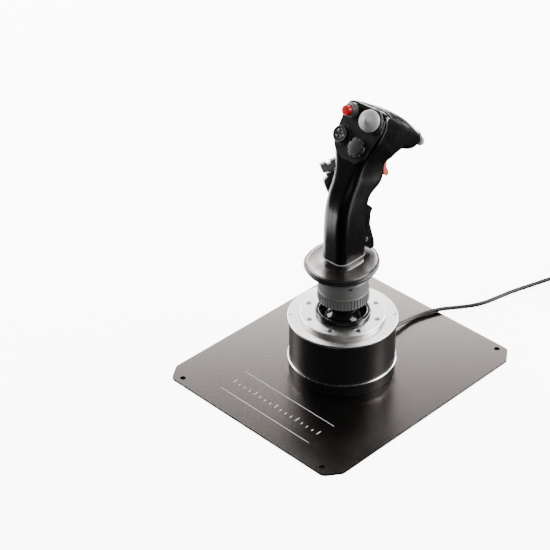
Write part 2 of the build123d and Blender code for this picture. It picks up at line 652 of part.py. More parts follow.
save(revolve_on(round_frame, stem_points(2.2, 1.6) + [(8.2, 1.6), (8.4, 2.2), (8.4, 5.2), (7.2, 5.6), (3.4, 4.2),
                                                      (0, 4.0)]), "round_hat")
hat_pivot(round_frame, "round_hat_cross")

with BuildPart() as castle_hat:
    add(revolve_on(castle_frame, stem_points(2.2, 1.9) + [(9.5, 1.9), (9.8, 2.4), (9.8, 4.6), (0, 4.6)]))
    rim = Plane(origin=on_frame(castle_frame, 4.6), x_dir=castle_frame.x_dir, z_dir=castle_frame.z_dir)
    with Locations(rim):
        with PolarLocations(9.8, 6, start_angle=30):
            Cylinder(1.9, 2.7, align=HIGH, mode=Mode.SUBTRACT)
    with BuildSketch(rim):
        RegularPolygon(7.6, 6)
        fillet(vertices(), 1.2)
    extrude(amount=1.8)
save(castle_hat.part, "castle_hat")
hat_pivot(castle_frame, "castle_hat_cross")

# ---- the thumb hat on the left side, with its faceted housing ----
with BuildPart() as thumb_hat_housing:
    with BuildSketch(side_of(thumb_frame)):
        with BuildLine():
            Polyline((-6.8, 0), (-11, -1.8), (-12, -5), (-12, -16), (0, -22), (30, -22), (30, 0), close=True)
        make_face()
        fillet(vertices(), 0.8)
    extrude(amount=THUMB_Y / 2 + 0.8, both=True)
    add(grip_outside.part, mode=Mode.SUBTRACT)
    add(thumb_bore, mode=Mode.SUBTRACT)
wedge_solid = thumb_hat_housing.part.solids().sort_by(Axis.X)[0]
save(Part(wedge_solid.wrapped), "thumb_hat_housing")

CAP_X, CAP_Y, CAP_LOW, CAP_TOP = 17.6, 12.6, 4.8, 13.6
cap_top = Plane(origin=on_frame(thumb_frame, CAP_TOP), x_dir=thumb_frame.x_dir, z_dir=thumb_frame.z_dir)
with BuildPart() as thumb_hat:
    add(revolve_on(thumb_frame, [(0, HAT_PIVOT + 3.2), (2.0, HAT_PIVOT + 3.2), (2.0, 6.4), (0, 6.4)]))
    with Locations(cap_top):
        Box(CAP_X, CAP_Y, CAP_TOP - CAP_LOW, align=HIGH)
        Box(3.8, CAP_Y, 4.0, align=HIGH, mode=Mode.SUBTRACT)
        Box(CAP_X, 3.8, 4.0, align=HIGH, mode=Mode.SUBTRACT)
save(thumb_hat.part, "thumb_hat")

with BuildPart() as thumb_hat_base:
    with Locations(Plane(origin=on_frame(thumb_frame, 0.2), x_dir=thumb_frame.x_dir, z_dir=thumb_frame.z_dir)):
        Box(THUMB_X, THUMB_Y, 3.0, align=LOW)
        Cylinder(STEM_HOLE_R, 10, mode=Mode.SUBTRACT)
save(thumb_hat_base.part, "thumb_hat_base")
hat_pivot(thumb_frame, "thumb_hat_cross")

# =============================== trigger and pinky lever ===============================

yz = Plane(origin=(0, 0, 0), x_dir=(0, 1, 0), z_dir=(1, 0, 0))
with BuildPart() as trigger:
    with BuildSketch(yz):
        with BuildLine():
            Polyline((40.5, 240.5), (44, 243), (50, 241.5), (55, 236), (55.5, 229), (54.5, 222), (57.5, 216.5), (59, 212),
                     (55.5, 210.5), (52.5, 213.5), (49.5, 220), (49.3, 228), (47, 234), (42, 236.5), close=True)
        make_face()
        fillet(vertices(), 0.9)
    extrude(amount=TRIGGER_HALF, both=True)
    with Locations(across_x):
        with Locations((TRIGGER_Y, TRIGGER_Z)):
            Cylinder(CROSS_PIN_R + PIN_GAP, 80, align=LOW, mode=Mode.SUBTRACT)
save(trigger.part, "trigger")

with BuildPart() as trigger_pin:
    with Locations(Plane(origin=(-13, TRIGGER_Y, TRIGGER_Z), x_dir=(0, 1, 0), z_dir=(1, 0, 0))):
        Cylinder(CROSS_PIN_R, 26, align=LOW)
save(trigger_pin.part, "trigger_pin")

with BuildPart() as pinky_lever:
    with BuildSketch(yz):
        with BuildLine():
            Polyline((25.5, 184), (27.5, 190), (34.5, 183), (31.5, 177.5), (31, 165), (34.8, 153), (38, 143), (38.6, 135),
                     (33, 134.2), (29, 141), (22.8, 143.5), (22.8, 156), (26.5, 166), close=True)
        make_face()
        fillet(vertices(), 1.0)
    extrude(amount=LEVER_HALF, both=True)
    with Locations((0, LEVER_Y - 4, LEVER_Z)):
        Box(2 * LUG_HALF + 0.6, 20, 15, mode=Mode.SUBTRACT)
    with Locations(across_x):
        with Locations((LEVER_Y, LEVER_Z)):
            Cylinder(CROSS_PIN_R + PIN_GAP, 80, align=LOW, mode=Mode.SUBTRACT)
save(pinky_lever.part, "pinky_lever")

with BuildPart() as lever_pin:
    with Locations(Plane(origin=(-LEVER_HALF, LEVER_Y, LEVER_Z), x_dir=(0, 1, 0), z_dir=(1, 0, 0))):
        Cylinder(CROSS_PIN_R, 2 * LEVER_HALF + 0.4, align=LOW)
    with Locations(Plane(origin=(LEVER_HALF + 0.4, LEVER_Y, LEVER_Z), x_dir=(0, 1, 0), z_dir=(1, 0, 0))):
        Cylinder(2.4, 1.2, align=LOW)
save(lever_pin.part, "lever_pin")

# =============================== cable ===============================

gland_axis = Plane(origin=(0, GLAND_Y, GLAND_Z), x_dir=(1, 0, 0), z_dir=(0, 1, 0))
save(revolve_on(gland_axis, [(CABLE_R, 0), (GLAND_FLANGE_R, 0), (GLAND_FLANGE_R, 1.8), (GLAND_R, 1.8), (GLAND_R, 8.2),
                             (5.4, 8.2), (5.4, 9.8), (4.3, 9.8), (3.0, GLAND_L), (CABLE_R, GLAND_L)]), "cable_gland")

COIL_X, COIL_Y, COIL_R, COIL_OUT, COIL_IN, COIL_H = 99.0, 313.0, 25.0, 32.0, 18.0, 18.4
cable_route = [
    (0.0, 75.6, 8.4), (0.6, 89.0, 7.6), (1.0, 104.0, 5.2), (3.0, 121.0, 4.9), (10.8, 144.0, 5.2), (20.0, 161.5, 3.1),
    (30.5, 178.0, 2.4), (37.5, 194.0, 2.4), (41.0, 212.0, 2.4), (45.5, 234.0, 2.4), (52.5, 257.0, 2.4),
    (58.5, 278.0, 2.4), (64.0, 294.0, 2.4), (68.4, 306.5, 2.4),
]


def tube(route, name):
    """A cord's tube: straight runs joined by arcs as large as the runs allow."""
    points = [Vector(*p) for p in route]
    runs = [b - a for a, b in zip(points, points[1:])]
    radii = []
    for before, after in zip(runs, runs[1:]):
        half_turn = math.radians(before.get_angle(after)) / 2
        radii.append(0.45 * min(before.length, after.length) / math.tan(half_turn))
    print(name, "radii", [round(r) for r in radii])
    with BuildPart() as cord:
        with BuildLine() as path:
            FilletPolyline(*points, radius=radii)
        with BuildSketch(Plane(origin=path.wire() @ 0, z_dir=path.wire() % 0)):
            Circle(CABLE_R)
        sweep()
    length = path.wire().length
    print(name, "length", round(length, 1), "volume ratio", cord.part.volume / (math.pi * CABLE_R**2 * length))
    save(cord.part, name)


tube(cable_route, "cable")

with BuildPart() as cable_coil:
    with Locations((COIL_X, COIL_Y, 0.1)):
        Cylinder(COIL_OUT, COIL_H, align=LOW)
        Cylinder(COIL_IN, COIL_H, align=LOW, mode=Mode.SUBTRACT)
save(cable_coil.part, "cable_coil")

tail_route = [
    (123.5, 335.5, 16.0), (133.0, 324.0, 14.5), (141.0, 310.0, 9.6), (147.0, 295.0, 5.4), (150.5, 280.0, 4.7),
    (153.0, 266.0, 4.8),
]
tube(tail_route, "cable_tail")

plug_start = Vector(*tail_route[-1])
plug_way = (plug_start - Vector(*tail_route[-2])).normalized()
plug_way = Vector(plug_way.X, plug_way.Y, 0).normalized()
plug = Plane(origin=(plug_start.X, plug_start.Y, 4.8), x_dir=plug_way.cross(Vector(0, 0, 1)), z_dir=plug_way)
with BuildPart() as usb_plug_body:
    with BuildSketch(plug.offset(-1)):
        Circle(3.2)
    with BuildSketch(plug.offset(9)):
        Circle(4.2)
    loft()
    with BuildSketch(plug.offset(8.5)):
        RectangleRounded(15.6, 8.4, 2.4)
    extrude(amount=24)
    with BuildSketch(plug.offset(-2)):
        Circle(CABLE_R + 0.02)
    extrude(amount=8, mode=Mode.SUBTRACT)
save(usb_plug_body.part, "usb_plug_body")

with BuildPart() as usb_plug_shell:
    with BuildSketch(plug.offset(32.5)):
        Rectangle(12.0, 4.5)
        Rectangle(11.4, 3.9, mode=Mode.SUBTRACT)
    extrude(amount=12)
    with BuildSketch(plug.offset(32.5)):
        with Locations((0, 0.9)):
            Rectangle(11.4, 1.9)
    extrude(amount=10.5)
save(usb_plug_shell.part, "usb_plug_shell")
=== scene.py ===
import json
import math

import bmesh
import bpy
from mathutils import Matrix, Vector


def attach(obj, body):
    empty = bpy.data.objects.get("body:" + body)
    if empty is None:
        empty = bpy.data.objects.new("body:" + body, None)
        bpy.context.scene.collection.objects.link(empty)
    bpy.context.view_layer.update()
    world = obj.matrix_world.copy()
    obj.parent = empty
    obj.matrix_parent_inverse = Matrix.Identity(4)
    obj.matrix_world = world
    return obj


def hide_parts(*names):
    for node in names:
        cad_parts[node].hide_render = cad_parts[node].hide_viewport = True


# Desk flight joystick. Metres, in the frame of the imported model: +Z up, +Y away from the pilot, +X to the right.

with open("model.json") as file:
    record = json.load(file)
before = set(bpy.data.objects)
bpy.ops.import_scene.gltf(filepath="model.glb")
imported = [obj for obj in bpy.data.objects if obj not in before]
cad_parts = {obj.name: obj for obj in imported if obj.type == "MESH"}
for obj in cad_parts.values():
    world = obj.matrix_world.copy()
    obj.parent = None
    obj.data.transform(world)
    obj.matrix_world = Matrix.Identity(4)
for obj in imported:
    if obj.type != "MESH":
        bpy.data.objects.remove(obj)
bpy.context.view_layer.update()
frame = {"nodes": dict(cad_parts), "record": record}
nodes = frame["nodes"]
MM = 0.001


# =============================== camera ===============================

# Solved from where the plate's corners and the base's circles fall: degrees, then metres, then millimetres.
CAMERA_AZIMUTH, CAMERA_ELEVATION, CAMERA_ROLL = 45.30, 34.11, -0.34
CAMERA_PLACE = (0.92829, -1.01709, 1.04689)
CAMERA_LENS, CAMERA_SENSOR = 106.68, 36.0


def place_camera():
    """The photograph's view: from behind the pilot's right shoulder, looking down at 34 degrees."""
    azimuth, elevation, roll = (math.radians(a) for a in (CAMERA_AZIMUTH, CAMERA_ELEVATION, CAMERA_ROLL))
    back = Vector((math.sin(azimuth) * math.cos(elevation), -math.cos(azimuth) * math.cos(elevation),
                   math.sin(elevation)))
    right = Vector((math.cos(azimuth), math.sin(azimuth), 0))
    up = back.cross(right)
    turned_right = right * math.cos(roll) + up * math.sin(roll)
    turned_up = up * math.cos(roll) - right * math.sin(roll)
    data = bpy.data.cameras.new("camera")
    data.sensor_width = CAMERA_SENSOR
    data.lens = CAMERA_LENS
    data.clip_start, data.clip_end = 0.05, 20
    camera = bpy.data.objects.new("camera", data)
    camera.matrix_world = Matrix((
        (turned_right.x, turned_up.x, back.x, CAMERA_PLACE[0]),
        (turned_right.y, turned_up.y, back.y, CAMERA_PLACE[1]),
        (turned_right.z, turned_up.z, back.z, CAMERA_PLACE[2]),
        (0, 0, 0, 1)))
    bpy.context.scene.collection.objects.link(camera)
    bpy.context.scene.camera = camera


# =============================== materials ===============================

def node_tree(name):
    material = bpy.data.materials.new(name)
    material.use_nodes = True
    tree = material.node_tree
    return material, tree, tree.nodes["Principled BSDF"]


def noise(tree, scale, detail=3.0, stretch=(1, 1, 1)):
    """Noise in the object's own space, so many features per metre."""
    place = tree.nodes.new("ShaderNodeTexCoord")
    mapping = tree.nodes.new("ShaderNodeMapping")
    mapping.inputs["Scale"].default_value = stretch
    texture = tree.nodes.new("ShaderNodeTexNoise")
    texture.inputs["Scale"].default_value = scale
    texture.inputs["Detail"].default_value = detail
    tree.links.new(place.outputs["Object"], mapping.inputs["Vector"])
    tree.links.new(mapping.outputs["Vector"], texture.inputs["Vector"])
    return texture.outputs["Fac"]


def spread(tree, value, low, high):
    """A 0 to 1 value stretched about its middle to run from low to high."""
    band = tree.nodes.new("ShaderNodeMapRange")
    band.inputs["From Min"].default_value, band.inputs["From Max"].default_value = 0.3, 0.7
    band.inputs["To Min"].default_value, band.inputs["To Max"].default_value = low, high
    tree.links.new(value, band.inputs["Value"])
    return band.outputs["Result"]


def vary_colour(tree, shader, value, colour, by):
    mix = tree.nodes.new("ShaderNodeMix")
    mix.data_type = "RGBA"
    mix.inputs["A"].default_value = [max(0, c * (1 - by)) for c in colour] + [1]
    mix.inputs["B"].default_value = [min(1, c * (1 + by)) for c in colour] + [1]
    tree.links.new(spread(tree, value, 0, 1), mix.inputs["Factor"])
    tree.links.new(mix.outputs["Result"], shader.inputs["Base Color"])


def soften(tree, shader, height, strength, distance, edge):
    """Bump from a height, over a small rounding of every hard edge."""
    bump = tree.nodes.new("ShaderNodeBump")
    bump.inputs["Strength"].default_value = strength
    bump.inputs["Distance"].default_value = distance
    tree.links.new(height, bump.inputs["Height"])
    if edge > 0:
        bevel = tree.nodes.new("ShaderNodeBevel")
        bevel.samples = 4
        bevel.inputs["Radius"].default_value = edge
        tree.links.new(bevel.outputs["Normal"], bump.inputs["Normal"])
    tree.links.new(bump.outputs["Normal"], shader.inputs["Normal"])


def plastic(name, colour, rough, grain=2600, strength=0.12, edge=0.25 * MM, by=0.06, specular=0.5):
    """Moulded plastic: a fine spark-eroded grain, and handling marks that change its gloss."""
    material, tree, shader = node_tree(name)
    shader.inputs["Specular IOR Level"].default_value = specular
    vary_colour(tree, shader, noise(tree, 45), colour, by)
    tree.links.new(spread(tree, noise(tree, 60, 2), rough * 0.92, min(1, rough * 1.08)), shader.inputs["Roughness"])
    soften(tree, shader, noise(tree, grain, 2), strength, 0.05 * MM, edge)
    return material


def metal(name, colour, rough, stretch=(1, 1, 1), scale=900, strength=0.08, edge=0.2 * MM, by=0.05, mark=0.2):
    """Machined or ground metal with fine marks along one direction."""
    material, tree, shader = node_tree(name)
    shader.inputs["Metallic"].default_value = 1.0
    marks = noise(tree, scale, 4, stretch)
    vary_colour(tree, shader, marks, colour, by)
    tree.links.new(spread(tree, marks, rough * (1 - mark), rough * (1 + mark)), shader.inputs["Roughness"])
    soften(tree, shader, marks, strength, 0.02 * MM, edge)
    return material


def turned_metal(name, colour, rough, anisotropy=0.85):
    """Lathe-turned metal: fine rings about the stick's axis, and the bright fans that they throw."""
    material, tree, shader = node_tree(name)
    shader.inputs["Metallic"].default_value = 1.0
    shader.inputs["Anisotropic"].default_value = anisotropy
    place = tree.nodes.new("ShaderNodeTexCoord")
    split = tree.nodes.new("ShaderNodeSeparateXYZ")
    radius = tree.nodes.new("ShaderNodeVectorMath")
    radius.operation = "LENGTH"
    flat = tree.nodes.new("ShaderNodeCombineXYZ")
    rings = tree.nodes.new("ShaderNodeTexNoise")
    rings.noise_dimensions = "1D"
    rings.inputs["Scale"].default_value = 3500
    rings.inputs["Detail"].default_value = 4
    tree.links.new(place.outputs["Object"], split.inputs["Vector"])
    tree.links.new(split.outputs["X"], flat.inputs["X"])
    tree.links.new(split.outputs["Y"], flat.inputs["Y"])
    tree.links.new(flat.outputs["Vector"], radius.inputs[0])
    tree.links.new(radius.outputs["Value"], rings.inputs["W"])
    vary_colour(tree, shader, rings.outputs["Fac"], colour, 0.10)
    tree.links.new(spread(tree, rings.outputs["Fac"], rough * 0.85, rough * 1.2), shader.inputs["Roughness"])
    tangent = tree.nodes.new("ShaderNodeTangent")
    tangent.direction_type, tangent.axis = "RADIAL", "Z"
    tree.links.new(tangent.outputs["Tangent"], shader.inputs["Tangent"])
    soften(tree, shader, rings.outputs["Fac"], 0.10, 0.02 * MM, 0.15 * MM)
    return material


materials = {
    "plate_metal": metal("plate_metal", (0.140, 0.124, 0.116), 0.25, scale=2600, strength=0.003, edge=0, by=0.02,
                         mark=0.05),
    "screw_steel": metal("screw_steel", (0.26, 0.26, 0.26), 0.34),
    "housing_black": plastic("housing_black", (0.0065, 0.0062, 0.0065), 0.34, grain=1800, strength=0.05, specular=0.42),
    "silver_turned": turned_metal("silver_turned", (0.84, 0.82, 0.80), 0.30, 0.8),
    "trim_silver": metal("trim_silver", (0.80, 0.79, 0.78), 0.24, strength=0.01, edge=0.1 * MM, by=0.03),
    "cup_black": plastic("cup_black", (0.006, 0.006, 0.006), 0.13, strength=0.02, specular=0.5),
    "steel": metal("steel", (0.55, 0.55, 0.56), 0.25),
    "alloy": metal("alloy", (0.60, 0.60, 0.61), 0.35),
    "spring_steel": metal("spring_steel", (0.42, 0.42, 0.44), 0.30),
    "board_green": plastic("board_green", (0.02, 0.10, 0.05), 0.4),
    "magnet": metal("magnet", (0.70, 0.69, 0.68), 0.2),
    "ring_grey": plastic("ring_grey", (0.120, 0.119, 0.117), 0.36, strength=0.06),
    "rest_grey": metal("rest_grey", (0.290, 0.266, 0.257), 0.28, scale=2600, strength=0.006, by=0.02, mark=0.06),
    "grip_black": plastic("grip_black", (0.0030, 0.0028, 0.0027), 0.23, grain=1500, strength=0.008, edge=0,
                          specular=0.36),
    "face_black": plastic("face_black", (0.0085, 0.0085, 0.0090), 0.30, grain=2200, strength=0.06),
    "button_red": plastic("button_red", (0.40, 0.004, 0.006), 0.30, strength=0.02, specular=0.35),
    "collar_grey": plastic("collar_grey", (0.085, 0.082, 0.080), 0.34),
    "hat_grey": plastic("hat_grey", (0.255, 0.245, 0.238), 0.42),
    "hat_dark": plastic("hat_dark", (0.016, 0.016, 0.017), 0.40),
    "trigger_orange": plastic("trigger_orange", (0.42, 0.075, 0.035), 0.34),
    "cable_black": plastic("cable_black", (0.012, 0.0115, 0.0115), 0.44, grain=1500, strength=0.12, edge=0),
    "plug_black": plastic("plug_black", (0.010, 0.010, 0.011), 0.48),
    "plug_metal": metal("plug_metal", (0.60, 0.60, 0.61), 0.25),
}
# The plate's printed marks: a finish of their own on a piece of the hat_grey slot.
print_white = plastic("print_white", (0.80, 0.80, 0.79), 0.55, by=0.04, edge=0)


def wear(obj, slot_name):
    """Gives a piece the material of the named slot."""
    obj.data.materials.clear()
    obj.data.materials.append(materials[slot_name])
    return obj


def dress_cad_nodes():
    slot_of = {s["node"]: s["material_slot"] for s in frame["record"]["subparts"]}
    for name, node in nodes.items():
        node.data.materials.clear()
        node.data.materials.append(materials[slot_of[name]])
        node.data.shade_smooth()
        node.data.set_sharp_from_angle(angle=math.radians(28))


# =============================== mesh helpers ===============================

def piece(name, mesh_data, body, slot_name, smooth=35):
    """A new object from a bmesh or mesh, riding on a body."""
    if isinstance(mesh_data, bmesh.types.BMesh):
        mesh = bpy.data.meshes.new(name)
        bmesh.ops.recalc_face_normals(mesh_data, faces=mesh_data.faces)
        mesh_data.to_mesh(mesh)
        mesh_data.free()
    else:
        mesh = mesh_data
    obj = bpy.data.objects.new(name, mesh)
    bpy.context.scene.collection.objects.link(obj)
    mesh.shade_smooth()
    mesh.set_sharp_from_angle(angle=math.radians(smooth))
    wear(obj, slot_name)
    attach(obj, body)
    return obj


def frame_at(origin, normal, towards=(1, 0, 0)):
    """A matrix at origin (millimetres): z is the control's axis, and x runs as near as it can to towards."""
    z = Vector(normal).normalized()
    aim = Vector(towards)
    x = (aim - z * z.dot(aim)).normalized()
    y = z.cross(x)
    place = Matrix((x, y, z)).transposed().to_4x4()
    place.translation = Vector(origin) * MM
    return place


def smooth_line(points, steps, closed=False):
    """A Catmull-Rom line through points of any number of values."""
    count = len(points)
    spans = count if closed else count - 1
    line = []
    for i in range(spans):
        if closed:
            near = [points[(i + k) % count] for k in (-1, 0, 1, 2)]
        else:
            near = [points[min(max(i + k, 0), count - 1)] for k in (-1, 0, 1, 2)]
        for k in range(steps):
            t = k / steps
            line.append([0.5 * (2 * b + (c - a) * t + (2 * a - 5 * b + 4 * c - d) * t * t
                                + (3 * b - a - 3 * c + d) * t ** 3) for a, b, c, d in zip(*near)])
    if not closed:
        line.append(list(points[-1]))
    return line


def turned(bm, place, profile, segments=64, wave=None):
    """A surface of revolution about the frame's z; profile is (radius, height) in millimetres."""
    rings = []
    for i, (r, h) in enumerate(profile):
        if r < 1e-6:
            rings.append([bm.verts.new(place @ Vector((0, 0, h * MM)))])
            continue
        ring = []
        for k in range(segments):
            angle = 2 * math.pi * k / segments
            reach = r + (wave(i, k) if wave else 0)
            spot = Vector((reach * MM * math.cos(angle), reach * MM * math.sin(angle), h * MM))
            ring.append(bm.verts.new(place @ spot))
        rings.append(ring)
    for a, b in zip(rings, rings[1:]):
        for k in range(segments):
            n = (k + 1) % segments
            corners = [a[k % len(a)], a[n % len(a)], b[n % len(b)], b[k % len(b)]]
            unique = list(dict.fromkeys(corners))
            if len(unique) > 2:
                bm.faces.new(unique)


def prism(bm, place, outline, low, high, round_by=0.0, steps=3):
    """An outline raised from low to high above the frame, with its top edge rounded in by round_by (millimetres)."""
    centre = Vector((sum(x for x, _ in outline) / len(outline), sum(y for _, y in outline) / len(outline)))
    levels = [(low, 0.0), (high - round_by, 0.0)]
    for k in range(1, steps + 1):
        turn = math.pi / 2 * k / steps
        levels.append((high - round_by * (1 - math.sin(turn)), round_by * (1 - math.cos(turn))))
    if round_by <= 0:
        levels = [(low, 0.0), (high, 0.0)]
    rings = []
    for h, inset in levels:
        ring = []
        for x, y in outline:
            out = Vector((x, y)) - centre
            spot = centre + out * (1 - inset / out.length)
            ring.append(bm.verts.new(place @ Vector((spot.x * MM, spot.y * MM, h * MM))))
        rings.append(ring)
    count = len(outline)
    for a, b in zip(rings, rings[1:]):
        for k in range(count):
            bm.faces.new((a[k], a[(k + 1) % count], b[(k + 1) % count], b[k]))
    bm.faces.new(rings[0][::-1])
    bm.faces.new(rings[-1])


# =============================== grip ===============================

# Back y, z; front y, z; width behind; width in front; middle x; corner radius behind; in front (millimetres).
GRIP_SECTIONS = [
    (-20.0, 140.0, 19.0, 140.0, 31.0, 31.0, 0.0, 9.0, 9.0),
    (-20.0, 158.0, 19.5, 158.0, 31.0, 31.0, 0.0, 9.0, 9.0),
    (-20.0, 178.0, 20.8, 176.0, 31.0, 31.0, 0.0, 9.5, 9.5),
    (-18.2, 199.0, 21.8, 195.0, 31.0, 31.0, 0.0, 10.0, 10.0),
    (-12.8, 216.0, 26.5, 206.0, 31.0, 31.0, 0.0, 10.0, 10.0),
    (-5.5, 230.0, 39.5, 213.5, 32.0, 31.0, 0.0, 9.0, 10.0),
    (-0.5, 241.0, 44.0, 220.0, 35.0, 31.0, -1.0, 8.0, 10.0),
    (4.2, 252.0, 45.6, 226.0, 42.0, 30.5, -2.3, 7.0, 10.0),
    (10.5, 263.0, 47.0, 230.0, 53.0, 30.0, -3.5, 5.5, 10.0),
    (16.8, 274.0, 49.5, 233.5, 56.0, 30.0, -1.2, 4.5, 10.0),
    (23.6, 286.0, 53.5, 235.8, 56.5, 30.5, 0.0, 4.5, 10.0),
    (29.6, 296.6, 59.5, 237.0, 51.5, 31.0, 0.0, 5.5, 10.5),
    (45.0, 290.8, 66.5, 237.2, 43.0, 31.0, 0.0, 13.0, 11.5),
    (61.0, 281.2, 73.0, 235.6, 35.5, 29.0, 0.0, 15.0, 12.5),
    (77.0, 268.8, 79.5, 231.8, 30.5, 27.0, 0.0, 13.5, 12.0),
    (89.6, 257.0, 86.0, 228.8, 25.5, 23.5, 0.0, 11.5, 10.5),
    (99.4, 246.6, 92.8, 227.0, 20.5, 19.0, 0.0, 9.2, 8.8),
    (106.8, 238.7, 98.4, 229.1, 14.4, 14.4, 0.0, 6.3, 6.3),
]
SEAM_GROOVE = ((0.024, 0.3), (0.08, 0.12), (0.176, 0.0))  # half width and depth, from its bottom out to the skin


def half_section(row, side):
    """One half of a section, from the seam behind round to the seam in front, as points across and along."""
    back_y, back_z, front_y, front_z, back_w, front_w, middle_x, back_r, front_r = row
    depth = math.hypot(front_y - back_y, front_z - back_z)
    corners = [(middle_x + side * back_w / 2, 0.0, back_r), (middle_x + side * front_w / 2, depth, front_r)]
    start, end = (0.0, 0.0), (0.0, depth)
    flat = [start, corners[0][:2], corners[1][:2], end]
    line = [(side * half, deep) for half, deep in SEAM_GROOVE]
    for i, (x, y, radius) in ((1, corners[0]), (2, corners[1])):
        before = (Vector(flat[i - 1]) - Vector((x, y))).normalized()
        after = (Vector(flat[i + 1]) - Vector((x, y))).normalized()
        half_turn = before.angle(after) / 2
        reach = radius / math.tan(half_turn)
        centre = Vector((x, y)) + (before + after).normalized() * radius / math.sin(half_turn)
        first, last = Vector((x, y)) + before * reach, Vector((x, y)) + after * reach
        begin = Vector(line[-1])
        for k in range(1, 5):
            line.append(tuple(begin.lerp(first, k / 5)))
        for k in range(9):
            t = k / 8
            arm = ((first - centre) * math.sin((1 - t) * (math.pi - 2 * half_turn))
                   + (last - centre) * math.sin(t * (math.pi - 2 * half_turn))) / math.sin(math.pi - 2 * half_turn)
            line.append(tuple(centre + arm))
    begin = Vector(line[-1])
    for k in range(1, 5):
        line.append(tuple(begin.lerp(Vector((side * SEAM_GROOVE[-1][0], depth)), k / 5)))
    line += [(side * half, depth - deep) for half, deep in reversed(SEAM_GROOVE)]
    along = Vector((0, front_y - back_y, front_z - back_z)).normalized()
    return [(Vector((x, back_y, back_z)) + along * y) * MM for x, y in line]


def make_grip_half(name, side, node):
    """One moulded half of the handle, closed along its seam."""
    bm = bmesh.new()
    rows = smooth_line(GRIP_SECTIONS, 6)
    rings = [[bm.verts.new(p) for p in half_section(row, side)] for row in rows]
    for a, b in zip(rings, rings[1:]):
        for k in range(len(a) - 1):
            bm.faces.new((a[k], a[k + 1], b[k + 1], b[k]))
    bm.faces.new(rings[0])
    bm.faces.new(rings[-1][::-1])
    skin = piece(name, bm, "stick", "grip_black", smooth=40)
    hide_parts(node)


FOOT_BACK, _, FOOT_FRONT, _, FOOT_WIDTH, _, _, FOOT_CORNER, _ = GRIP_SECTIONS[0]
FOOT_HALF = FOOT_WIDTH / 2


def foot_line(grow, z, steps=8):
    """A rounded rectangle about the handle's foot, grown outwards by grow."""
    half_x, back, front, radius = FOOT_HALF, FOOT_BACK, FOOT_FRONT, FOOT_CORNER + grow
    line = []
    for cx, cy, start in ((half_x + grow - radius, front + grow - radius, 0),
                          (-half_x - grow + radius, front + grow - radius, 90),
                          (-half_x - grow + radius, back - grow + radius, 180),
                          (half_x + grow - radius, back - grow + radius, 270)):
        for k in range(steps):
            angle = math.radians(start + 90 * k / (steps - 1))
            line.append(Vector((cx + radius * math.cos(angle), cy + radius * math.sin(angle), z)))
    return line


def skin_loops(bm, loops, close_last=False):
    """Faces between loops of the same count, in millimetres."""
    rings = [[bm.verts.new(v * MM) for v in loop] for loop in loops]
    for a, b in zip(rings, rings[1:]):
        for k in range(len(a)):
            n = (k + 1) % len(a)
            bm.faces.new((a[k], a[n], b[n], b[k]))
    if close_last:
        bm.faces.new(rings[-1])


def make_foot_rim():
    """The pale bead where the handle stands on the hand rest."""
    bm = bmesh.new()
    loops = [foot_line(grow, z)
             for grow, z in ((-0.6, 139.6), (0.1, 139.5), (0.55, 139.9), (0.6, 140.4), (0.3, 140.9), (-0.6, 141.0))]
    skin_loops(bm, loops)
    piece("handle_foot_rim", bm, "stick", "hat_grey", smooth=50)


REST_OUTLINE = [(-40.5, 3), (-31, 29.5), (-2, 42), (24, 28), (35, 0.5), (28, -26.5), (2.5, -40.5), (-29.5, -29)]


def rest_loop(inset, z, count=96):
    """The hand rest's outline drawn in towards the handle's axis by inset, at height z."""
    line = smooth_line(REST_OUTLINE, count // len(REST_OUTLINE), closed=True)
    return [Vector((x, y, 0)) * (1 - inset / math.hypot(x, y)) + Vector((0, 0, z)) for x, y in line]


def meet_loop(grow, z, count=96):
    """The handle's foot, grown, with one point on each ray of the rest's outline."""
    loop = []
    for out in rest_loop(0, 0, count):
        x, y = out.x, out.y
        half_x, low_y, high_y = FOOT_HALF + grow, FOOT_BACK - grow, FOOT_FRONT + grow
        power = 4.0 if grow < 4 else 3.0
        centre_y, half_y = (low_y + high_y) / 2, (high_y - low_y) / 2
        reach = 1 / ((abs(x) / half_x) ** power + (abs(y - centre_y) / half_y) ** power) ** (1 / power)
        loop.append(Vector((x * reach, centre_y + (y - centre_y) * reach, z)))
    return loop


def make_hand_rest():
    """A dished grey plate that sweeps up to the handle, over a rounded black lip."""
    bm = bmesh.new()
    loops = [rest_loop(2.2, 130.6), rest_loop(2.3, 131.5), rest_loop(3.0, 131.9), rest_loop(4.4, 131.75),
             rest_loop(7.5, 131.4), meet_loop(7.0, 131.35), meet_loop(2.2, 131.5), meet_loop(0.2, 131.7),
             meet_loop(-1.2, 131.7)]
    skin_loops(bm, loops)
    top = piece("hand_rest_top", bm, "stick", "rest_grey", smooth=60)
    bm = bmesh.new()
    skin_loops(bm, [meet_loop(0.1, 131.5), meet_loop(-0.2, 132.1), meet_loop(-0.8, 132.9), meet_loop(-1.0, 134.5),
                    meet_loop(-1.0, 139.7), meet_loop(-3.0, 139.8)])
    piece("handle_foot", bm, "stick", "face_black", smooth=60)
    bm = bmesh.new()
    profile = [(2.9, 131.0), (2.0, 131.75), (1.2, 131.85), (0.5, 131.3), (0.25, 130.2), (0.6, 129.3), (1.3, 128.9),
               (0.7, 128.4), (0.35, 127.2), (0.9, 125.6), (2.4, 124.5), (5.0, 124.05), (16.0, 124.0)]
    skin_loops(bm, [rest_loop(i, z) for i, z in profile], close_last=True)
    lip = piece("hand_rest_lip", bm, "stick", "face_black", smooth=60)
    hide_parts("hand_rest")
    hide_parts("hand_rest")
    bm = bmesh.new()
    seam = [(-11.8, -38.0 + 1.45 * k) for k in range(9)]
    rows = [[bm.verts.new(Vector((x + side, y, 131.62)) * MM) for side in (-0.16, 0.16)]
            for x, y in seam]
    for a, b in zip(rows, rows[1:]):
        bm.faces.new((a[0], a[1], b[1], b[0]))
    piece("hand_rest_seam", bm, "stick", "hat_dark")


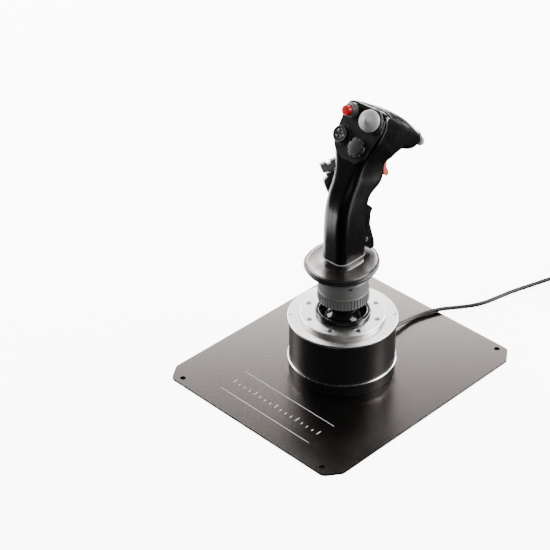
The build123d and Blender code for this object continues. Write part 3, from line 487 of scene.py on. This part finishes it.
# =============================== buttons and hats ===============================

# The flat face that the thumb controls stand on, in millimetres.
FACE_LEAN = math.radians(29.75)
FACE_ORIGIN = Vector((0, 23.55, 286.0))
FACE_NORMAL = Vector((0, -math.cos(FACE_LEAN), math.sin(FACE_LEAN)))
FACE_UP = Vector((0, math.sin(FACE_LEAN), math.cos(FACE_LEAN)))
PANEL_OUT = 0.5


def on_panel(s, t):
    """The point s to the right and t up the face, on the panel's surface."""
    return FACE_ORIGIN + Vector((s, 0, 0)) + FACE_UP * t + FACE_NORMAL * PANEL_OUT


RED = frame_at(on_panel(-15.5, 4.0), (-0.05, -0.95, 0.29))
TRIM = frame_at(on_panel(11.9, 1.5), (0.19, -0.85, 0.50))
ROUND = frame_at(on_panel(-16.8, -22.0), FACE_NORMAL)
CASTLE = frame_at(on_panel(6.6, -27.6), FACE_NORMAL)
TIP = frame_at((0, 102.6, 233.9), (0, 0.753, -0.659))
SIDE = frame_at((-25.3, 8.3, 221.0), (-0.51, -0.03, 0.86), (0.49, 0.81, 0.32))


def make_turned(name, frame_of, profile, body, slot_name, node=None, smooth=32, wave=None, segments=72):
    bm = bmesh.new()
    turned(bm, frame_of, profile, segments, wave)
    done = piece(name, bm, body, slot_name, smooth)
    if node:
        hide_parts(node)


def arc_band(bm, place, radius, width, low, high, start, stop, steps=24):
    """A raised band that follows an arc about the frame's axis."""
    for k in range(steps):
        a = math.radians(start + (stop - start) * k / steps)
        b = math.radians(start + (stop - start) * (k + 1) / steps)
        corners = []
        for angle in (a, b):
            for r in (radius - width / 2, radius + width / 2):
                for h in (low, high):
                    corners.append(bm.verts.new(place @ (Vector((r * math.cos(angle), r * math.sin(angle), h)) * MM)))
        i0, i1, o0, o1, j0, j1, q0, q1 = corners
        for face in ((i1, o1, q1, j1), (i0, j0, q0, o0), (o0, q0, q1, o1), (i0, i1, j1, j0)):
            bm.faces.new(face)
        if k == 0:
            bm.faces.new((i0, o0, o1, i1))
        if k == steps - 1:
            bm.faces.new((j0, j1, q1, q0))
    bmesh.ops.remove_doubles(bm, verts=bm.verts, dist=1e-7)


def make_buttons():
    """The red and nose buttons, each a cap in a stepped collar."""
    make_turned("red_button_cap", RED, [(0, 1.0), (5.1, 1.0), (5.2, 1.3), (5.2, 10.2), (5.05, 10.8), (4.6, 11.2),
                                        (4.0, 11.32), (0, 11.4)], "red_button", "button_red", "red_button")
    make_turned("red_button_rings", RED, [(5.32, -0.4), (5.32, 6.1), (5.6, 6.4), (6.1, 6.4), (6.45, 6.1), (6.5, 5.0),
                                          (6.15, 4.8), (6.15, 4.3), (6.5, 4.1), (6.55, 3.3), (7.0, 3.2), (7.35, 2.9),
                                          (7.4, 2.3), (7.05, 2.1), (7.05, 1.6), (7.4, 1.4), (7.4, -0.4)],
                "stick", "collar_grey", "red_button_collar")
    make_turned("tip_button_cap", TIP, [(0, 0.8), (4.5, 0.8), (4.6, 1.1), (4.6, 11.7), (4.4, 12.5), (3.8, 12.95),
                                        (3.0, 13.0), (0, 13.0)], "tip_button", "hat_grey", "tip_button")
    make_turned("tip_button_rings", TIP, [(4.72, -0.5), (4.72, 5.3), (5.0, 5.6), (5.6, 5.6), (5.95, 5.3), (6.0, 4.6),
                                          (5.6, 4.4), (5.6, 3.8), (6.2, 3.6), (6.55, 3.2), (6.6, 2.4), (6.2, 2.2),
                                          (6.2, 1.5), (6.6, 1.3), (6.6, 0.3), (5.7, 0.0), (5.7, -0.5)],
                "stick", "collar_grey", "tip_button_collar")


def make_trim_hat():
    """The pale pointed hat, its collar, a painted highlight in silver along half of the collar's edge, and the collar's
    knurls.
    """
    dome = [(3.0, 7.4), (9.0, 6.7), (9.8, 6.7), (10.6, 7.2), (11.0, 8.0), (11.0, 8.8), (10.75, 9.8), (10.2, 10.9),
            (9.3, 12.0), (8.1, 13.0), (6.7, 13.9), (5.3, 14.8), (4.1, 15.6), (3.1, 16.4), (2.3, 17.2), (1.6, 17.8),
            (0.9, 18.0), (0, 18.0)]
    make_turned("trim_hat_dome", TRIM, dome, "trim_hat", "hat_grey", "trim_hat", smooth=60)
    ring = [(8.7, -3.4), (8.7, 4.2), (9.0, 4.55), (10.9, 4.55), (11.2, 4.3), (11.4, 3.6), (11.9, 3.3), (12.15, 2.9),
            (12.2, 2.3), (11.85, 2.1), (11.85, 1.5), (12.2, 1.3), (12.2, -3.4)]
    make_turned("trim_hat_ring", TRIM, ring, "stick", "face_black", "trim_hat_collar", segments=96)
    # A silver band on only half of the collar's edge: a painted highlight, not a ring of the real part.
    bm = bmesh.new()
    arc_band(bm, TRIM, 12.05, 0.5, 2.2, 3.2, -70, 110, 40)
    piece("trim_ring_painted_highlight", bm, "stick", "trim_silver")
    bm = bmesh.new()
    for k in range(30):
        arc_band(bm, TRIM, 12.15, 0.4, -1.6, 0.9, 12 * k, 12 * k + 4.5, 2)
    piece("trim_ring_knurls", bm, "stick", "hat_grey")


def make_round_hat():
    """A small dished hat with four ridges, on a low seat."""
    bowl = [(2.0, 1.8), (8.0, 1.7), (8.35, 2.1), (8.4, 4.4), (8.2, 5.1), (7.6, 5.5), (7.0, 5.4), (6.6, 4.9), (6.3, 4.4),
            (6.0, 4.4), (5.7, 4.8), (5.2, 4.9), (4.8, 4.6), (3.8, 4.25), (2.0, 4.1), (0, 4.1)]
    make_turned("round_hat_bowl", ROUND, bowl, "round_hat", "hat_dark", "round_hat",
                wave=lambda i, k: 0.16 * (1 if k % 3 else -1) if 1 <= i <= 4 else 0, segments=72)
    bm = bmesh.new()
    for turn in range(4):
        angle = math.radians(45 + 90 * turn)
        out = Vector((math.cos(angle), math.sin(angle)))
        side = Vector((-out.y, out.x))
        outline = [tuple(out * a + side * b) for a, b in ((1.6, -0.5), (4.6, -1.5), (5.0, 0), (4.6, 1.5), (1.6, 0.5))]
        prism(bm, ROUND, outline, 3.9, 5.1, 0.3, 2)
    piece("round_hat_ridges", bm, "round_hat", "collar_grey")
    bm = bmesh.new()
    arc_band(bm, ROUND, 9.9, 0.8, -0.4, 0.6, 0, 360, 60)
    piece("round_hat_seat", bm, "stick", "hat_dark")


def petal_line(radius, notch, lobes, count=96, turn=30):
    """A circle with so many rounded notches."""
    line = []
    for k in range(count):
        angle = 2 * math.pi * k / count
        swing = math.cos(lobes * (angle - math.radians(turn)))
        reach = radius - notch * max(0, swing) ** 3
        line.append((reach * math.cos(angle), reach * math.sin(angle)))
    return line


def hexagon_line(radius, soft):
    """A hexagon with each corner cut back by soft."""
    line = []
    for k in range(6):
        here, after = math.radians(60 * k), math.radians(60 * (k + 1))
        a = Vector((radius * math.cos(here), radius * math.sin(here)))
        b = Vector((radius * math.cos(after), radius * math.sin(after)))
        along = (b - a).normalized()
        line += [tuple(a + along * soft), tuple(b - along * soft)]
    return line


def make_castle_hat():
    """A six-lobed hat with a hexagonal top."""
    bm = bmesh.new()
    prism(bm, CASTLE, petal_line(9.8, 1.7, 6), 1.9, 4.7, 0.9, 4)
    lobes = piece("castle_hat_lobes", bm, "castle_hat", "hat_dark")
    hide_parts("castle_hat")
    bm = bmesh.new()
    prism(bm, CASTLE, hexagon_line(8.6, 1.3), 4.3, 5.7, 0.5, 3)
    piece("castle_hat_top", bm, "castle_hat", "hat_dark")


def make_side_hat():
    """A block with four raised corners, on the left flank under the head."""
    bm = bmesh.new()
    prism(bm, SIDE, [(-8.8, -6.3), (8.8, -6.3), (8.8, 6.3), (-8.8, 6.3)], 4.8, 11.3, 0.3, 2)
    for sx in (-1, 1):
        for sy in (-1, 1):
            x, y = sx * 5.35, sy * 4.1
            prism(bm, SIDE, [(x - 3.4, y - 2.2), (x + 3.4, y - 2.2), (x + 3.4, y + 2.2), (x - 3.4, y + 2.2)],
                  11.0, 13.6, 0.5, 3)
    done = piece("side_hat_cap", bm, "thumb_hat", "collar_grey")
    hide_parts("thumb_hat")


def make_nose_ring():
    """The stepped ring where the nose meets its button's collar."""
    make_turned("nose_ring", TIP, [(6.2, -2.4), (7.5, -2.2), (7.75, -1.7), (7.75, -1.1), (7.4, -0.9), (7.4, -0.4),
                                   (7.65, -0.2), (7.5, 0.3), (7.0, 0.6), (6.0, 0.6)], "stick", "collar_grey")


PLATE_TOP = 2.2 * MM
LINE_LEFT, LINE_RIGHT, LINE_WIDE = -62, 66, 0.35
TICKS, TICK_STEP, TICK_WIDE, TICK_LEFT, TICK_FOOT = 17, 7.5, 0.6, -58, -103.0
TICK_TALL, TICK_SHORT = 6.0, 3.2


def make_plate_marks():
    """Two fine pale lines and a plain scale along the plate's front edge."""
    bm = bmesh.new()
    top = Matrix.Translation((0, 0, PLATE_TOP))

    def bar(x0, y0, x1, y1):
        prism(bm, top, [(x0, y0), (x1, y0), (x1, y1), (x0, y1)], -0.05, 0.06)

    for y in (-82.0, -118.35):
        bar(LINE_LEFT, y, LINE_RIGHT, y + LINE_WIDE)
    for k in range(TICKS):
        x = TICK_LEFT + TICK_STEP * k
        bar(x, TICK_FOOT, x + TICK_WIDE, TICK_FOOT + (TICK_TALL if k % 4 == 0 else TICK_SHORT))
    scale = piece("plate_scale", bm, "base", "hat_grey")
    scale.data.materials[0] = print_white


# =============================== cable ===============================

CABLE_R = 2.25 * MM
cable_way = [
    (0.0, 75.6, 8.4), (0.6, 89.0, 7.6), (1.0, 104.0, 5.2), (3.0, 121.0, 4.9), (10.8, 144.0, 5.2), (20.0, 161.5, 3.1),
    (30.5, 178.0, 2.4), (37.5, 194.0, 2.4), (41.0, 212.0, 2.4), (45.5, 234.0, 2.4), (52.5, 257.0, 2.4),
    (58.5, 278.0, 2.4), (64.0, 294.0, 2.4), (68.4, 306.5, 2.4),
]
tail_way = [(123.5, 335.5, 16.0), (133.0, 324.0, 14.5), (141.0, 310.0, 9.6), (147.0, 295.0, 5.4), (150.5, 280.0, 4.7),
            (153.0, 266.0, 4.8)]
COIL_CENTRE = (99.0, 313.0)
COLUMNS, LAYER_STEP, TOP_TURN_OUT = (29.6, 25.0, 20.4), 4.6, 1.7
COIL_TURNS, POINTS_PER_TURN, ENTRY_ANGLE = 9.33, 16, 166.0
CURVE_CUT = 1.012  # the curve runs a little inside its points
LIE = 2.4  # height of the cable's middle where it lies on the floor


def ease(t):
    """A soft step from 0 to 1."""
    t = min(max(t, 0.0), 1.0)
    return t * t * (3 - 2 * t)


def coil_points():
    """The wound-up length: clockwise turns, side by side in three columns, in three layers."""
    radius_of = [COLUMNS[c] for c in (0, 1, 2, 2, 1, 0, 0, 1, 2)] + [COLUMNS[0] + TOP_TURN_OUT]
    layer_of = [0, 0, 0, 1, 1, 1, 2, 2, 2, 3]
    points = []
    for i in range(2, int(COIL_TURNS * POINTS_PER_TURN)):
        swept = 360 * i / POINTS_PER_TURN
        cycle = int(swept // 360)
        within = swept - 360 * cycle
        r_from, r_to = radius_of[cycle], radius_of[min(cycle + 1, 9)]
        z_from, z_to = layer_of[cycle], layer_of[min(cycle + 1, 9)]
        r = r_from + (r_to - r_from) * ease((within - 250) / 100)
        if cycle >= 8:
            r = COLUMNS[2] + (radius_of[9] - COLUMNS[2]) * ease((swept - 8 * 360 - 245) / 235)
        z = LIE + LAYER_STEP * (z_from + (z_to - z_from) * ease((within - 150) / 90))
        angle = math.radians(ENTRY_ANGLE - swept)
        reach = CURVE_CUT * r
        points.append((COIL_CENTRE[0] + reach * math.cos(angle), COIL_CENTRE[1] + reach * math.sin(angle), z))
    return points


def make_cable():
    """The whole lead as one smooth curve."""
    way = cable_way + coil_points() + tail_way
    curve = bpy.data.curves.new("cable_line", "CURVE")
    curve.dimensions = "3D"
    spline = curve.splines.new("NURBS")
    spline.points.add(len(way) - 1)
    for point, (x, y, z) in zip(spline.points, way):
        point.co = (x * MM, y * MM, z * MM, 1)
    spline.order_u = 3
    spline.use_endpoint_u = True
    curve.resolution_u = 6
    curve.bevel_depth = CABLE_R
    curve.bevel_resolution = 5
    obj = bpy.data.objects.new("cable_run", curve)
    bpy.context.scene.collection.objects.link(obj)
    wear(obj, "cable_black")
    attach(obj, "base")
    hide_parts("cable", "cable_coil", "cable_tail")


# =============================== stage and light ===============================

def area_light(name, place, target, size, power, size_y=None, glossy=True):
    data = bpy.data.lights.new(name, "AREA")
    data.shape = "RECTANGLE"
    data.size, data.size_y = size, size_y or size
    data.energy = power
    light = bpy.data.objects.new(name, data)
    light.location = place
    light.rotation_euler = (Vector(target) - Vector(place)).to_track_quat("-Z", "Y").to_euler()
    light.visible_glossy = glossy
    light.visible_camera = False
    bpy.context.scene.collection.objects.link(light)


def stage_card(name, place, size, material):
    """A flat card that is not part of the object."""
    bm = bmesh.new()
    bmesh.ops.create_grid(bm, x_segments=1, y_segments=1, size=0.5)
    bmesh.ops.scale(bm, vec=(size[0], size[1], 1), verts=bm.verts)
    mesh = bpy.data.meshes.new(name)
    bm.to_mesh(mesh)
    bm.free()
    mesh.materials.append(material)
    card = bpy.data.objects.new(name, mesh)
    card.location = place
    bpy.context.scene.collection.objects.link(card)
    return card


def make_stage():
    """White floor, dark card seen through the plate's holes, glowing cards, world and lamps."""
    bm = bmesh.new()
    bmesh.ops.create_grid(bm, x_segments=1, y_segments=1, size=6)
    mesh = bpy.data.meshes.new("floor")
    bm.to_mesh(mesh)
    bm.free()
    floor = bpy.data.objects.new("floor", mesh)
    floor.location.z = -0.0002
    bpy.context.scene.collection.objects.link(floor)
    material, _, shader = node_tree("floor")
    shader.inputs["Base Color"].default_value = (0.88, 0.88, 0.88, 1)
    shader.inputs["Roughness"].default_value = 0.9
    shader.inputs["Specular IOR Level"].default_value = 0.1
    shader.inputs["Emission Color"].default_value = (1, 1, 1, 1)
    shader.inputs["Emission Strength"].default_value = 8.0
    mesh.materials.append(material)
    floor.visible_glossy = floor.visible_diffuse = False
    material.cycles.emission_sampling = "NONE"
    shade, _, shader = node_tree("shade")
    shader.inputs["Base Color"].default_value = (0.01, 0.01, 0.01, 1)
    stage_card("shade_under_plate", (0, 0, -0.0001), (0.214, 0.283), shade)
    for name, place, size, strength in (("floor_left", (-0.90, 0.10, 0.0004), (1.36, 1.5), 4.0),
                                        ("floor_right", (0.62, 0.50, 0.0004), (0.60, 0.9), 0.12)):
        glow, _, shader = node_tree(name)
        shader.inputs["Emission Color"].default_value = (1, 1, 1, 1)
        shader.inputs["Emission Strength"].default_value = strength
        card = stage_card(name, place, size, glow)
        card.visible_camera = card.visible_diffuse = card.visible_shadow = False
    world = bpy.data.worlds.new("world")
    bpy.context.scene.world = world
    world.use_nodes = True
    world.node_tree.nodes["Background"].inputs["Color"].default_value = (1, 1, 1, 1)
    world.node_tree.nodes["Background"].inputs["Strength"].default_value = 0.5
    world.cycles_visibility.glossy = False
    target = (0, 0, 0.1)
    area_light("left_box", (-1.6, -0.5, 0.8), target, 0.6, 34, 1.3)
    area_light("right_box", (1.4, 1.25, 0.9), target, 0.5, 24, 1.0)
    area_light("nose_box", (1.25, 0.85, 1.5), (0, 0.06, 0.26), 0.7, 16, 0.9)
    area_light("back_box", (-1.5, 1.5, 0.95), target, 2.6, 80, 0.75)
    area_light("far_box", (0.95, 1.7, 0.30), (0, 0.05, 0.25), 2.0, 80, 0.6)
    area_light("front_box", (1.6, -1.6, 0.9), target, 2.2, 4, 0.8)
    area_light("low_left_box", (-1.7, 0.3, 0.25), (0, 0, 0.2), 1.2, 16, 0.5)
    area_light("top_box", (-0.5, -0.4, 2.4), target, 0.9, 36, glossy=False)


place_camera()
dress_cad_nodes()
make_cable()
make_grip_half("grip_skin_right", 1, "grip_right_shell")
make_grip_half("grip_skin_left", -1, "grip_left_shell")
make_foot_rim()
make_hand_rest()
make_buttons()
make_trim_hat()
make_round_hat()
make_castle_hat()
make_side_hat()
make_nose_ring()
make_plate_marks()
make_stage()
